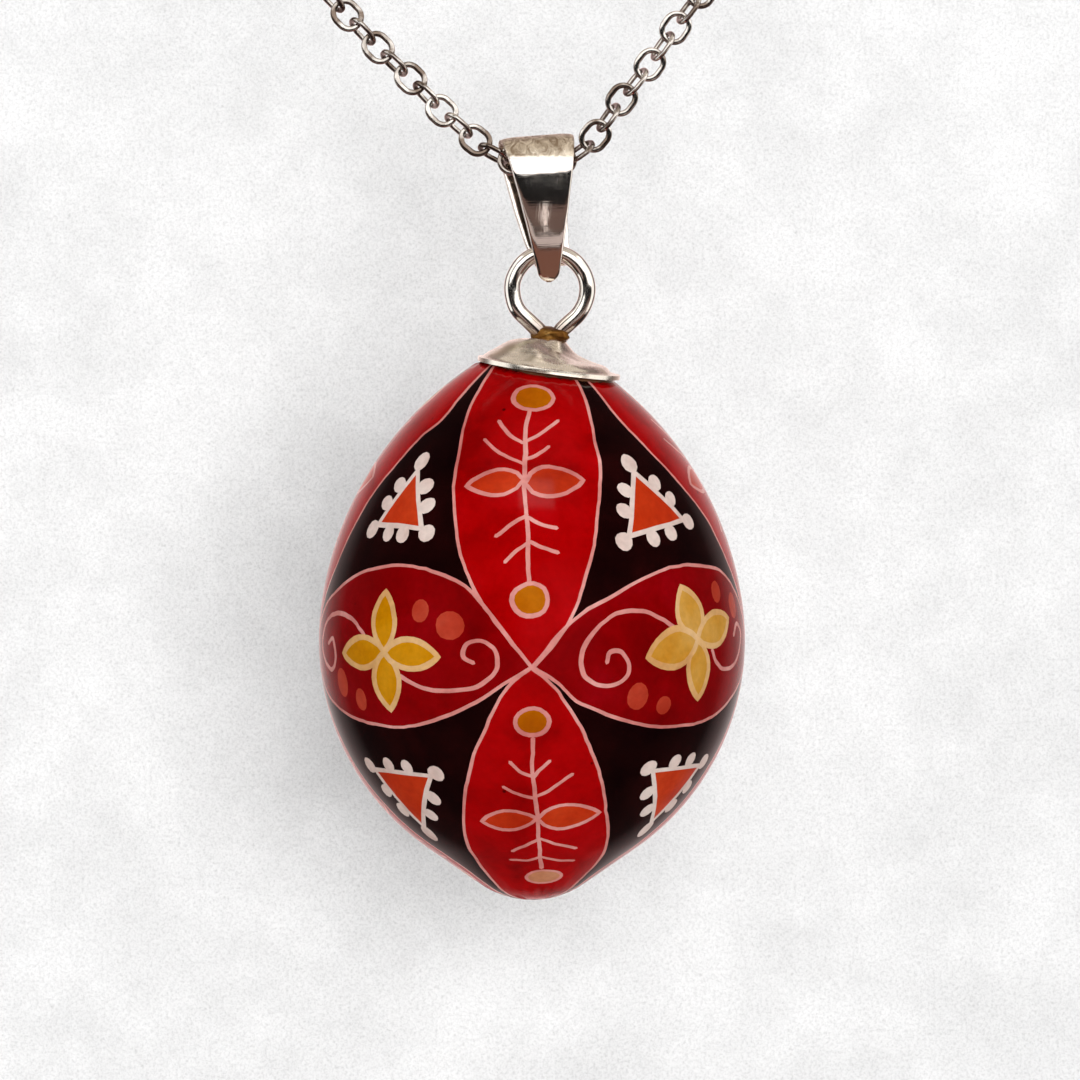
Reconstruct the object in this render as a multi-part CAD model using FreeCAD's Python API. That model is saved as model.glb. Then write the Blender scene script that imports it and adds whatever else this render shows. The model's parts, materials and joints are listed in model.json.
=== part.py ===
"""A pysanka egg pendant on its necklace chain, in millimetres.

A blown and wax-resist dyed bird's egg is filled with resin. A thin silver cap is glued over the
blow hole at its crown, and a loop of silver wire stands in the cap, its two legs set in the
resin. A folded silver bail hangs from the chain and holds the top of the loop. The chain is a
cable chain of flattened oval links, drawn into a V by the pendant's weight. Its two arms end in
plain rings, where the rest of a necklace and its clasp would be joined on.

The model is built in a bench frame, with the egg's axis on Z and its lower tip at the origin.
Each part is then moved so that the origin is above the egg, level with the two end rings.
+X is to the wearer's left, -Y is the front of the pendant and +Z is up.
"""

import FreeCAD, Part  # noqa: E401  FreeCAD has to be imported first
import math
import os

from FreeCAD import Vector

X_AXIS = Vector(1, 0, 0)
Y_AXIS = Vector(0, 1, 0)
Z_AXIS = Vector(0, 0, 1)

# Egg: a chain of tangent arcs, from the lower tip to the crown. Angles are those of the
# outline's tangent, 0 at the lower tip, 90 at the widest place and 180 at the crown.
TIP_R = 5.55
TIP_END = 35.0
FLANK_LENGTH = 3.81
BELLY_R = 15.2
BELLY_END = 97.6
SHOULDER_R = 20.6
SHOULDER_END = 147.5
SHELL_T = 0.25
BLOW_HOLE_R = 1.5

# Cap: a shallow silver cup, pressed over the crown a little off the egg's axis.
CAP_T = 0.24
CAP_INNER_R = 7.2
CAP_RIM_R = 4.2
CAP_GLUE_GAP = 0.12
CAP_HOLE_R = 1.12
CAP_LEAN_RIGHT = 9.5
CAP_LEAN_FRONT = 4.0

# Loop: round wire bent to a ring, with its two ends brought together into legs.
WIRE_R = 0.5
LOOP_R = 2.25
LOOP_X = 1.06
LOOP_Z = 36.63
LOOP_OPENS_AT = 42.0
LEG_X = 0.52
LEG_BEND_R = 0.75
LEG_FOOT_Z = 26.5
LEG_SPLAY_Z = 28.6
LEG_SPLAY = 1.5
SOLDER_R = 1.42
SOLDER_RISE = 0.62

# Bail: a tapered strip folded over the chain. Its own frame has its origin on the fold's axis.
BAIL_T = 0.36
FOLD_R = 1.46
BAIL_X = 0.42
BAIL_Z = 44.0
BAIL_LEAN = 4.7
BAIL_YAW = 7.0
# The front leg bends in below the loop's wire. The back leg stays straight behind it.
EYE_HALF_GAP = 0.84
EYE_Z = -5.0
FRONT_TIP_Y = -0.35
BACK_TIP_Y = 0.82
FRONT_TIP_Z = -6.70
BACK_TIP_Z = -6.0
TIP_BEND_R = 1.3
# Half-widths of the strip, and where its middle is, at the fold and at each leg's foot.
TOP_HALF_WIDTH = 2.28
FRONT_FOOT_HALF_WIDTH = 0.56
BACK_FOOT_HALF_WIDTH = 1.3
BACK_FOOT_SHIFT = 0.45
FRONT_TIP_ROUND = 0.5
BACK_TIP_ROUND = 0.3
# The bead of solder at the tips.
TIP_BEAD_R = 0.5
TIP_BEAD_X = 0.05
TIP_BEAD_Y = 0.22
TIP_BEAD_Z = -6.3

# Chain: flattened oval links, each turned a quarter from the next.
LINK_WIRE_R = 0.2
LINK_FLAT = 0.30
LINK_WIDTH = 1.82
LINK_PITCH = 1.34
LINK_PLAY = 0.04
# How far each link is turned about the chain from facing the front, one link and the next.
ODD_ROLL = 4.0
EVEN_ROLL = -68.0
CHAIN_X = 0.30
CHAIN_Z = 44.24
# How steeply the chain rises from each link to the next, outwards from the one in the bail.
LEFT_STEPS = [4, 20, 36, 41, 41, 46, 46, 43, 44, 46, 47, 46, 45, 46]
RIGHT_STEPS = [4, 24, 46, 54, 54, 51, 51, 55, 55, 54, 53, 54]
END_RING_R = 1.28
END_RING_WIRE_R = 0.23

OUT = "parts"


def egg_outline(inset):
    """The egg's right-hand half outline as tangent edges in the XZ plane, drawn inset from its surface."""
    edges = []
    x, z, turned = 0.0, inset, 0.0

    def arc(radius, end):
        nonlocal x, z, turned
        a, b = math.radians(turned), math.radians(end)
        cx, cz = x - radius * math.sin(a), z + radius * math.cos(a)
        points = [Vector(cx + radius * math.sin(t), 0, cz - radius * math.cos(t)) for t in (a, (a + b) / 2, b)]
        points[0] = Vector(x, 0, z)
        if end == 180:
            points[2].x = 0
        edges.append(Part.Arc(*points).toShape())
        x, z, turned = points[2].x, points[2].z, end

    arc(TIP_R - inset, TIP_END)
    slope = math.radians(TIP_END)
    flank_end = Vector(x + FLANK_LENGTH * math.cos(slope), 0, z + FLANK_LENGTH * math.sin(slope))
    edges.append(Part.LineSegment(Vector(x, 0, z), flank_end).toShape())
    x, z = flank_end.x, flank_end.z
    arc(BELLY_R - inset, BELLY_END)
    arc(SHOULDER_R - inset, SHOULDER_END)
    crown_r = x / math.sin(math.radians(180 - SHOULDER_END))
    arc(crown_r, 180)
    return edges, crown_r, z


def egg_solid(inset):
    edges, _, top = egg_outline(inset)
    axis = Part.LineSegment(Vector(0, 0, top), Vector(0, 0, inset)).toShape()
    face = Part.Face(Part.Wire(edges + [axis]))
    return face.revolve(Vector(0, 0, 0), Z_AXIS, 360)


def crown():
    """The crown arc's radius and the height of its centre."""
    _, radius, top = egg_outline(0)
    return radius, top - radius


def cap_centre():
    """The centre of the cap's spherical inside, whose top clears the crown by the glue's thickness."""
    radius, centre_z = crown()
    return Vector(0, 0, centre_z + radius + CAP_GLUE_GAP - CAP_INNER_R)


def cup(inner_r, outer_r, rim_r):
    """A spherical cup, leaned like the cap: the part between two radii that is inside rim_r."""
    centre = cap_centre()
    shell = Part.makeSphere(outer_r, centre).cut(Part.makeSphere(inner_r, centre))
    reach = 2 * outer_r
    base_r = reach * math.tan(math.asin(rim_r / outer_r))
    shape = shell.common(Part.makeCone(0, base_r, reach, centre, Z_AXIS))
    shape.rotate(centre, Y_AXIS, CAP_LEAN_RIGHT)
    shape.rotate(centre, X_AXIS, CAP_LEAN_FRONT)
    return shape


def leg_drill():
    """The round hole for the loop's legs, straight down beside the egg's axis."""
    return Part.makeCylinder(CAP_HOLE_R, 20, Vector(LOOP_X, 0, LEG_FOOT_Z), Z_AXIS)


def silver_cap():
    shape = cup(CAP_INNER_R, CAP_INNER_R + CAP_T, CAP_RIM_R).cut(leg_drill())
    rim = [e for e in shape.Edges if e.Length > 2 * math.pi * CAP_RIM_R * 0.9]
    return shape.makeFillet(CAP_T * 0.4, rim)


def cap_adhesive(cap, loop):
    """Everything between the cap and the egg, inside the rim, that the loop's legs leave."""
    glue = cup(CAP_INNER_R * 0.8, CAP_INNER_R, CAP_RIM_R * 0.97)
    return glue.cut(egg_solid(0)).cut(cap).cut(loop)


def loop_path():
    """One tangent line down the middle of the wire: left foot, ring, right foot."""
    opens = math.radians(LOOP_OPENS_AT)
    leave = Vector(LOOP_R * math.sin(opens), 0, -LOOP_R * math.cos(opens))
    towards = Vector(-math.cos(opens), 0, -math.sin(opens))
    # The line leaving the ring meets the upright leg at this corner, which is then rounded.
    along = (leave.x - LEG_X) / -towards.x
    corner = leave + towards * along
    turn = math.radians(90 - LOOP_OPENS_AT)
    cut = LEG_BEND_R * math.tan(turn / 2)
    before = corner - towards * cut
    after = corner - Z_AXIS * cut
    middle = after + Vector(LEG_BEND_R * (1 - math.cos(turn / 2)), 0, LEG_BEND_R * math.sin(turn / 2))
    knee = Vector(LEG_X, 0, LEG_SPLAY_Z - LOOP_Z)
    foot = Vector(LEG_X + LEG_SPLAY, 0, LEG_FOOT_Z - LOOP_Z)
    splay = math.atan2(foot.x - knee.x, knee.z - foot.z)
    splay_cut = math.tan(splay / 2)
    knee_in = knee + Z_AXIS * splay_cut
    out = (foot - knee).normalize()
    knee_out = knee + out * splay_cut
    knee_mid = knee_in + Vector(1 - math.cos(splay / 2), 0, -math.sin(splay / 2))

    def side(sign):
        p = [Vector(sign * v.x, 0, v.z) for v in (foot, knee_out, knee_mid, knee_in, after, middle, before, leave)]
        return [
            Part.LineSegment(p[0], p[1]),
            Part.Arc(p[1], p[2], p[3]),
            Part.LineSegment(p[3], p[4]),
            Part.Arc(p[4], p[5], p[6]),
            Part.LineSegment(p[6], p[7]),
        ]

    left, right = side(-1), side(1)
    ring = Part.Arc(Vector(-leave.x, 0, leave.z), Vector(0, 0, LOOP_R), leave)
    edges = [c.toShape() for c in left + [ring] + right[::-1]]
    wire = Part.Wire(Part.__sortEdges__(edges))
    wire.translate(Vector(LOOP_X, 0, LOOP_Z))
    foot_at = Vector(LOOP_X - foot.x, 0, LEG_FOOT_Z)
    return wire, foot_at, Vector(-out.x, 0, out.z)


def hanging_loop():
    wire, foot, direction = loop_path()
    section = Part.Wire(Part.makeCircle(WIRE_R, foot, direction))
    return wire.makePipeShell([section], True, True)


def neck_solder(cap, loop):
    """The collar of solder that fills the cap's hole round the legs and rises a little up them."""
    centre = cap_centre()
    top = centre.z + CAP_INNER_R + CAP_T
    height = SOLDER_RISE + 0.5
    collar = Part.makeCone(SOLDER_R, CAP_HOLE_R, height, Vector(LOOP_X, 0, top - 0.5), Z_AXIS)
    below = Part.makeSphere(CAP_INNER_R, centre)
    return collar.cut(below).cut(cap).cut(loop)


def resin_core(loop):
    """The fill, with a plug of it in the blow hole."""
    plug = Part.makeCylinder(BLOW_HOLE_R, 12, Vector(LOOP_X, 0, LEG_SPLAY_Z), Z_AXIS)
    plug = plug.common(egg_solid(0))
    return egg_solid(SHELL_T).fuse(plug).removeSplitter().cut(loop)


def egg_shell():
    hole = Part.makeCylinder(BLOW_HOLE_R, 12, Vector(LOOP_X, 0, LEG_SPLAY_Z), Z_AXIS)
    return egg_solid(0).cut(egg_solid(SHELL_T)).cut(hole)


def fold_tangent(point, radius):
    """Where the line from a point below touches the fold's circle, on the point's own side, in YZ."""
    distance = math.hypot(point.y, point.z)
    base = math.atan2(point.z, point.y)
    swing = math.acos(radius / distance)
    side = 1 if point.y > 0 else -1
    angle = base + side * swing
    return Vector(0, radius * math.cos(angle), radius * math.sin(angle))


def rounded_corner(start, corner, end, radius):
    """Line, tangent arc and line through a corner."""
    to_start = (start - corner).normalize()
    to_end = (end - corner).normalize()
    half = math.acos(max(-1.0, min(1.0, to_start.dot(to_end)))) / 2
    cut = radius / math.tan(half)
    middle_dir = (to_start + to_end).normalize()
    middle = corner + middle_dir * (radius / math.sin(half) - radius)
    first, last = corner + to_start * cut, corner + to_end * cut
    return [
        Part.LineSegment(start, first).toShape(),
        Part.Arc(first, middle, last).toShape(),
        Part.LineSegment(last, end).toShape(),
    ]


def strip_line():
    """The middle of the strip from the side, in YZ: front tip, front leg, fold, back leg."""
    half = BAIL_T / 2
    fold = FOLD_R + half
    front_bend = Vector(0, -EYE_HALF_GAP - half, EYE_Z)
    front_tip = Vector(0, FRONT_TIP_Y, FRONT_TIP_Z)
    back_tip = Vector(0, BACK_TIP_Y, BACK_TIP_Z)
    front_top, back_top = fold_tangent(front_bend, fold), fold_tangent(back_tip, fold)
    front = rounded_corner(front_tip, front_bend, front_top, TIP_BEND_R)
    top = Part.Arc(front_top, Vector(0, 0, fold), back_top).toShape()
    return front + [top, Part.LineSegment(back_top, back_tip).toShape()]


def thick_line(edges):
    """A run of tangent edges in YZ, thickened to the strip's thickness, as a face."""
    faces = []
    half = BAIL_T / 2
    for edge in edges:
        a, b = edge.FirstParameter, edge.LastParameter
        sides = []
        for at in (a, (a + b) / 2, b):
            tangent = edge.tangentAt(at)
            across = tangent.cross(X_AXIS).normalize() * half
            point = edge.valueAt(at)
            sides.append((point + across, point - across))
        if isinstance(edge.Curve, Part.Line):
            near = Part.LineSegment(sides[0][0], sides[2][0]).toShape()
            far = Part.LineSegment(sides[2][1], sides[0][1]).toShape()
        else:
            near = Part.Arc(*[s[0] for s in sides]).toShape()
            far = Part.Arc(*[s[1] for s in sides[::-1]]).toShape()
        start = Part.LineSegment(sides[0][1], sides[0][0]).toShape()
        end = Part.LineSegment(sides[2][0], sides[2][1]).toShape()
        faces.append(Part.Face(Part.Wire([near, end, far, start])))
    return faces


def leg_outline(foot_z, foot_half, shift, round_r):
    """A leg's outline from the front, as a solid 5 mm deep: tapered, with a rounded foot."""
    top_z = FOLD_R + 2 * BAIL_T
    corners = [
        Vector(-TOP_HALF_WIDTH, 0, top_z),
        Vector(shift - foot_half, 0, foot_z),
        Vector(shift + foot_half, 0, foot_z),
        Vector(TOP_HALF_WIDTH, 0, top_z),
    ]
    solid = Part.Face(Part.makePolygon(corners + corners[:1])).extrude(Y_AXIS * 5)
    feet = [e for e in solid.Edges if e.BoundBox.ZMax < foot_z + 0.001 and e.BoundBox.YLength > 4]
    return solid.makeFillet(round_r, feet)


def bail_place(shape):
    """From the bail's own frame to the bench frame."""
    shape.rotate(Vector(0, 0, 0), Z_AXIS, BAIL_YAW)
    shape.rotate(Vector(0, 0, 0), Y_AXIS, -BAIL_LEAN)
    shape.translate(Vector(BAIL_X, 0, BAIL_Z))
    return shape


def strip_solid():
    slabs = []
    for face in thick_line(strip_line()):
        face.translate(X_AXIS * -3)
        slabs.append(face.extrude(X_AXIS * 6))
    return slabs[0].multiFuse(slabs[1:]).removeSplitter()


def bail():
    """The strip inside each leg's outline, on that leg's side of the middle plane."""
    strip = strip_solid()
    front = leg_outline(FRONT_TIP_Z - BAIL_T / 2, FRONT_FOOT_HALF_WIDTH, 0, FRONT_TIP_ROUND)
    back = leg_outline(BACK_TIP_Z - BAIL_T / 2, BACK_FOOT_HALF_WIDTH, BACK_FOOT_SHIFT, BACK_TIP_ROUND)
    front.translate(Y_AXIS * -5)
    return bail_place(strip.common(front).fuse(strip.common(back)).removeSplitter())


def bail_tip_solder(strip):
    """The bead that joins the two tips, behind the front one and below the back one."""
    bead = Part.makeSphere(TIP_BEAD_R)
    bead.translate(Vector(TIP_BEAD_X, TIP_BEAD_Y, TIP_BEAD_Z))
    return bail_place(bead).cut(strip)


def oval(length, width, wire_r):
    """A round wire bent to an oval in XY, about the origin, its length along X."""
    end_r = width / 2 - wire_r
    half = length / 2 - wire_r - end_r
    path = Part.Wire([
        Part.LineSegment(Vector(-half, -end_r, 0), Vector(half, -end_r, 0)).toShape(),
        Part.Arc(Vector(half, -end_r, 0), Vector(half + end_r, 0, 0), Vector(half, end_r, 0)).toShape(),
        Part.LineSegment(Vector(half, end_r, 0), Vector(-half, end_r, 0)).toShape(),
        Part.Arc(Vector(-half, end_r, 0), Vector(-half - end_r, 0, 0), Vector(-half, -end_r, 0)).toShape(),
    ])
    section = Part.Wire(Part.makeCircle(wire_r, Vector(-half, -end_r, 0), X_AXIS))
    return path.makePipeShell([section], True, True)


def link(centre, slope, roll):
    """One link, lying along the chain at its slope, turned about it from facing the front by roll."""
    length = LINK_PITCH + 4 * LINK_WIRE_R + LINK_PLAY
    slab = Part.makeBox(4, 4, LINK_FLAT, Vector(-2, -2, -LINK_FLAT / 2))
    shape = oval(length, LINK_WIDTH, LINK_WIRE_R).common(slab)
    shape.rotate(Vector(0, 0, 0), X_AXIS, 90 + roll)
    shape.rotate(Vector(0, 0, 0), Y_AXIS, -slope)
    shape.translate(centre)
    return shape


def end_ring(last, slope, face_on):
    """The plain ring beyond an arm's last link, square to it, and the ring's centre."""
    reach = LINK_PITCH / 2 - END_RING_WIRE_R + END_RING_R
    centre = last + Vector(math.cos(math.radians(slope)), 0, math.sin(math.radians(slope))) * reach
    normal = Y_AXIS if face_on else Vector(-math.sin(math.radians(slope)), 0, math.cos(math.radians(slope)))
    return Part.makeTorus(END_RING_R, END_RING_WIRE_R, centre, normal), centre


def chain_arm(side, steps):
    """Every link of one arm as (number, centre, slope), then its ring. side is 1 for the right arm."""
    centre = Vector(CHAIN_X, 0, CHAIN_Z)
    links = []
    for number in range(1, len(steps)):
        step = steps[number - 1]
        angle = math.radians(step)
        centre = centre + Vector(side * math.cos(angle), 0, math.sin(angle)) * LINK_PITCH
        slope = (step + steps[number]) / 2
        links.append((number, centre, slope if side > 0 else 180 - slope))
    last_slope = steps[-1] if side > 0 else 180 - steps[-1]
    ring = end_ring(centre, last_slope, len(steps) % 2 == 1)
    return links, ring


def build():
    """Every part in the bench frame, by name, and the origin's place in it."""
    loop = hanging_loop()
    cap = silver_cap()
    strip = bail()
    parts = {
        "egg_shell": egg_shell(),
        "resin_core": resin_core(loop),
        "silver_cap": cap,
        "cap_adhesive": cap_adhesive(cap, loop),
        "hanging_loop": loop,
        "neck_solder": neck_solder(cap, loop),
        "bail": strip,
        "bail_tip_solder": bail_tip_solder(strip),
        "link_centre": link(Vector(CHAIN_X, 0, CHAIN_Z), (RIGHT_STEPS[0] - LEFT_STEPS[0]) / 2, EVEN_ROLL),
    }
    ring_centres = []
    for name, side, steps in (("left", -1, LEFT_STEPS), ("right", 1, RIGHT_STEPS)):
        links, (ring, centre) = chain_arm(side, steps)
        for number, at, slope in links:
            parts["link_%s_%02d" % (name, number)] = link(at, slope, ODD_ROLL if number % 2 else EVEN_ROLL)
        parts["end_ring_" + name] = ring
        ring_centres.append(centre)
    return parts, (ring_centres[0] + ring_centres[1]) * 0.5


if __name__ == "__main__":
    os.makedirs(OUT, exist_ok=True)
    parts, origin = build()
    for name, shape in parts.items():
        shape = shape.Solids[0]
        shape.translate(origin * -1)
        shape.exportStep(os.path.join(OUT, name + ".step"))
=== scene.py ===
"""The pysanka egg pendant, dressed for Blender. Lengths are worked out in millimetres in the
bench frame of the CAD source: egg's axis on Z, lower tip at zero, -Y the front."""
import json
import math

import bmesh
import bpy
import numpy as np
from mathutils import Matrix, Vector, noise
from mathutils.geometry import delaunay_2d_cdt


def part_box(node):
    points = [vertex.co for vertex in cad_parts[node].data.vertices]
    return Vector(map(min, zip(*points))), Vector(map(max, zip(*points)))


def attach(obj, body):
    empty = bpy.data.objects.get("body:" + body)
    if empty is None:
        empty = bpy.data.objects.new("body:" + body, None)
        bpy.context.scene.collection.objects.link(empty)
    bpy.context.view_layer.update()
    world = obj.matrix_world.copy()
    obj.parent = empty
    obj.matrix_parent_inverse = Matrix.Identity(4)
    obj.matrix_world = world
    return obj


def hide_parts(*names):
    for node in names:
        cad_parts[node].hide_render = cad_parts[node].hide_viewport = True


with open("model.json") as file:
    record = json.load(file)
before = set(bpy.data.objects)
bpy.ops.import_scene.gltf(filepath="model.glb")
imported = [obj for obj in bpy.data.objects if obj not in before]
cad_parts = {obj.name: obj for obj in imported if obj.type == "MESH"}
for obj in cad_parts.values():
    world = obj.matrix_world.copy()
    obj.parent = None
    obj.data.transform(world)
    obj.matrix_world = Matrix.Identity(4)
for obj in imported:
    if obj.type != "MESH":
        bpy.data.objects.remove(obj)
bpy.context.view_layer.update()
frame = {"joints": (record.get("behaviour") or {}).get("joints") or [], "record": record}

EGG_LOW, EGG_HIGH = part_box("egg_shell")
SHIFT = Vector(((EGG_LOW[0] + EGG_HIGH[0]) / 2, 0, EGG_LOW[2]))


def row(point):
    """Bench millimetres to the row's metres."""
    return Vector(point) * 0.001 + SHIFT


def bench(point):
    """The row's metres to bench millimetres."""
    return (Vector(point) - SHIFT) * 1000


# ---------------------------------------------------------------- small tools

def linear(r, g, b):
    """A screen colour, 0 to 255, as the linear colour Blender's sockets take."""
    def one(c):
        c /= 255
        return c / 12.92 if c <= 0.04045 else ((c + 0.055) / 1.055) ** 2.4
    return (one(r), one(g), one(b), 1)


def angles(count):
    return [2 * math.pi * k / count for k in range(count)]


def add_object(name, data):
    obj = bpy.data.objects.new(name, data)
    bpy.context.scene.collection.objects.link(obj)
    return obj


def smooth_object(name, verts, faces, material):
    mesh = bpy.data.meshes.new(name)
    mesh.from_pydata([tuple(row(v)) for v in verts], [], faces)
    mesh.validate()
    mesh.materials.append(material)
    mesh.shade_smooth()
    return add_object(name, mesh)


def dress(obj, body, node):
    """The object rides a body and stands in for a CAD node."""
    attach(obj, body)
    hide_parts(node)


def spline(points, steps=8):
    """A smooth line through 2-D points (Catmull-Rom), with steps per stretch."""
    p = [np.array(q, float) for q in points]
    p = [2 * p[0] - p[1]] + p + [2 * p[-1] - p[-2]]
    out = []
    for i in range(1, len(p) - 2):
        a, b, c, d = p[i - 1:i + 3]
        for k in range(steps):
            t = k / steps
            out.append(0.5 * (2 * b + (c - a) * t + (2 * a - 5 * b + 4 * c - d) * t * t
                              + (3 * b - 3 * c + d - a) * t ** 3))
    return out + [p[-2]]


def tube_faces(rings, around, closed_ends=True, closed_loop=False):
    """Quads that join rings of `around` points each, in order."""
    faces = []
    for i in range(rings if closed_loop else rings - 1):
        here, after = i * around, (i + 1) % rings * around
        for k in range(around):
            turn = (k + 1) % around
            faces.append((here + k, here + turn, after + turn, after + k))
    if closed_ends and not closed_loop:
        faces.append(tuple(range(around))[::-1])
        faces.append(tuple(range((rings - 1) * around, rings * around)))
    return faces


# ---------------------------------------------------------------- materials

class Nodes:
    """A short way to build a node material."""

    def __init__(self, name):
        self.material = bpy.data.materials.new(name)
        self.material.use_nodes = True
        self.tree = self.material.node_tree
        self.shader = self.tree.nodes["Principled BSDF"]
        self.coords = self.tree.nodes.new("ShaderNodeTexCoord").outputs["Object"]

    def link(self, a, b):
        self.tree.links.new(a, b)

    def feed(self, socket, value):
        if hasattr(value, "is_output"):
            self.link(value, socket)
        else:
            socket.default_value = value

    def noise(self, scale, detail=3, rough=0.5, distortion=0.0, stretch=None):
        n = self.tree.nodes.new("ShaderNodeTexNoise")
        n.inputs["Scale"].default_value = scale
        n.inputs["Detail"].default_value = detail
        n.inputs["Roughness"].default_value = rough
        n.inputs["Distortion"].default_value = distortion
        source = self.coords
        if stretch:
            m = self.tree.nodes.new("ShaderNodeMapping")
            m.inputs["Scale"].default_value = stretch
            self.link(source, m.inputs["Vector"])
            source = m.outputs[0]
        self.link(source, n.inputs["Vector"])
        return n.outputs["Fac"]

    def height(self, low, high):
        """From 0 to 1 between two bench heights in millimetres."""
        split = self.tree.nodes.new("ShaderNodeSeparateXYZ")
        self.link(self.coords, split.inputs[0])
        n = self.tree.nodes.new("ShaderNodeMapRange")
        n.inputs["From Min"].default_value = row((0, 0, low)).z
        n.inputs["From Max"].default_value = row((0, 0, high)).z
        self.link(split.outputs["Z"], n.inputs["Value"])
        return n.outputs[0]

    def voronoi(self, scale):
        n = self.tree.nodes.new("ShaderNodeTexVoronoi")
        n.inputs["Scale"].default_value = scale
        self.link(self.coords, n.inputs["Vector"])
        return n.outputs["Distance"]

    def ramp(self, source, *stops):
        n = self.tree.nodes.new("ShaderNodeValToRGB")
        ramp = n.color_ramp
        while len(ramp.elements) < len(stops):
            ramp.elements.new(0.5)
        for element, (at, colour) in zip(ramp.elements, stops):
            element.position = at
            element.color = colour if isinstance(colour, tuple) else (colour, colour, colour, 1)
        self.link(source, n.inputs["Fac"])
        return n.outputs["Color"]

    def mix(self, factor, a, b, blend="MIX"):
        n = self.tree.nodes.new("ShaderNodeMix")
        n.data_type, n.blend_type = "RGBA", blend
        for socket, value in ((n.inputs["Factor"], factor), (n.inputs[6], a), (n.inputs[7], b)):
            self.feed(socket, value)
        return n.outputs[2]

    def bump(self, *layers):
        """Layers are (height, distance in metres), laid on each other."""
        normal = None
        for height, distance in layers:
            n = self.tree.nodes.new("ShaderNodeBump")
            n.inputs["Distance"].default_value = distance
            n.inputs["Strength"].default_value = 1.0
            self.link(height, n.inputs["Height"])
            if normal:
                self.link(normal, n.inputs["Normal"])
            normal = n.outputs["Normal"]
        self.link(normal, self.shader.inputs["Normal"])

    def set(self, **values):
        for name, value in values.items():
            self.feed(self.shader.inputs[name.replace("_", " ")], value)

    def show_by_side(self, front, back):
        """One shader on the faces' front and another on their back."""
        mix = self.tree.nodes.new("ShaderNodeMixShader")
        self.link(self.tree.nodes.new("ShaderNodeNewGeometry").outputs["Backfacing"], mix.inputs[0])
        self.link(front.outputs[0], mix.inputs[1])
        self.link(back.outputs[0], mix.inputs[2])
        self.link(mix.outputs[0], self.tree.nodes["Material Output"].inputs["Surface"])


def dye(name, main, dark, light, speck=0.0):
    """Dyed eggshell below lacquer: dye that took unevenly, fine pores, and a thick glossy coat."""
    m = Nodes("dye_" + name)
    dark = linear(*dark)
    patches = m.noise(260, 4, 0.55, 0.4)
    colour = m.ramp(patches, (0.28, dark), (0.5, linear(*main)), (0.76, linear(*light)))
    grain = m.ramp(m.noise(2600, 2, 0.6), (0.35, 0.82), (0.65, 1.0))
    colour = m.mix(0.6, colour, grain, "MULTIPLY")
    if speck:
        flecks = m.ramp(m.voronoi(420), (0.03, (1, 1, 1, 1)), (0.06, (0, 0, 0, 1)))
        colour = m.mix(flecks, colour, tuple(c * speck for c in dark[:3]) + (1,))
    m.set(Base_Color=colour, Roughness=m.ramp(m.noise(900, 3), (0.3, 0.42), (0.7, 0.54)), IOR=1.45,
          Coat_Weight=0.6, Coat_Roughness=0.10, Coat_IOR=1.45, Specular_IOR_Level=0.0)
    m.bump((m.noise(170, 3, 0.5), 0.00007), (m.noise(1500, 2, 0.5), 0.000006))
    return m.material


def silver(name, tint, stain, stain_at, rough, scratch=1.0, wave=0.00004, soot=None, fold=None):
    """Handled silver: soft tarnish in patches, hair scratches and a slightly hammered surface."""
    m = Nodes("silver_" + name)
    patches = m.noise(420, 4, 0.6, 0.6)
    colour = m.ramp(patches, (stain_at, linear(*stain)), (stain_at + 0.16, linear(*tint)))
    if soot:
        # Heat from soldering left the lowest part of the wire brown.
        colour = m.mix(m.ramp(m.height(*soot), (0.0, 0.85), (1.0, 0.0)), colour, linear(96, 56, 30))
    hairs = m.noise(900, 2, 0.5, 0, stretch=(1, 1, 14))
    cross = m.noise(700, 2, 0.5, 0, stretch=(12, 3, 1))
    fine = m.mix(0.5, hairs, cross)
    roughness = m.mix(0.5, m.ramp(patches, (0.3, rough * 1.9), (0.6, rough)),
                      m.ramp(fine, (0.35, rough * 0.6), (0.7, rough * 1.7)))
    layers = [(m.noise(330, 3, 0.5), wave), (fine, 0.000004 * scratch)]
    if fold:
        # The top of the fold is rubbed dull and scratched by the chain that runs under it.
        worn = m.ramp(m.height(*fold), (0.0, 0.0), (1.0, 1.0))
        marks = m.noise(1500, 4, 0.7, 1.5, stretch=(1, 1, 0.4))
        rubbed = m.ramp(marks, (0.36, linear(150, 132, 112)), (0.6, linear(232, 220, 202)))
        colour = m.mix(worn, colour, rubbed)
        roughness = m.mix(worn, roughness, m.ramp(marks, (0.3, 0.42), (0.7, 0.26)))
        layers.append((m.mix(worn, (0, 0, 0, 1), marks), 0.00007))
    m.set(Base_Color=colour, Metallic=1.0, Roughness=roughness)
    m.bump(*layers)
    return m.material


def solder_metal():
    m = Nodes("solder_brown")
    patches = m.noise(700, 5, 0.6, 0.8)
    colour = m.ramp(patches, (0.3, linear(66, 34, 12)), (0.55, linear(122, 84, 38)),
                    (0.8, linear(206, 168, 104)))
    m.set(Base_Color=colour, Metallic=1.0, Roughness=m.ramp(patches, (0.3, 0.5), (0.7, 0.28)))
    m.bump((m.noise(900, 4, 0.6), 0.00006))
    return m.material


def resin(name, pale, dark):
    m = Nodes(name)
    colour = m.ramp(m.noise(500, 4, 0.6), (0.35, linear(*dark)), (0.65, linear(*pale)))
    m.set(Base_Color=colour, Roughness=0.22, Coat_Weight=0.4)
    m.bump((m.noise(800, 3), 0.00003))
    return m.material


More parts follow.
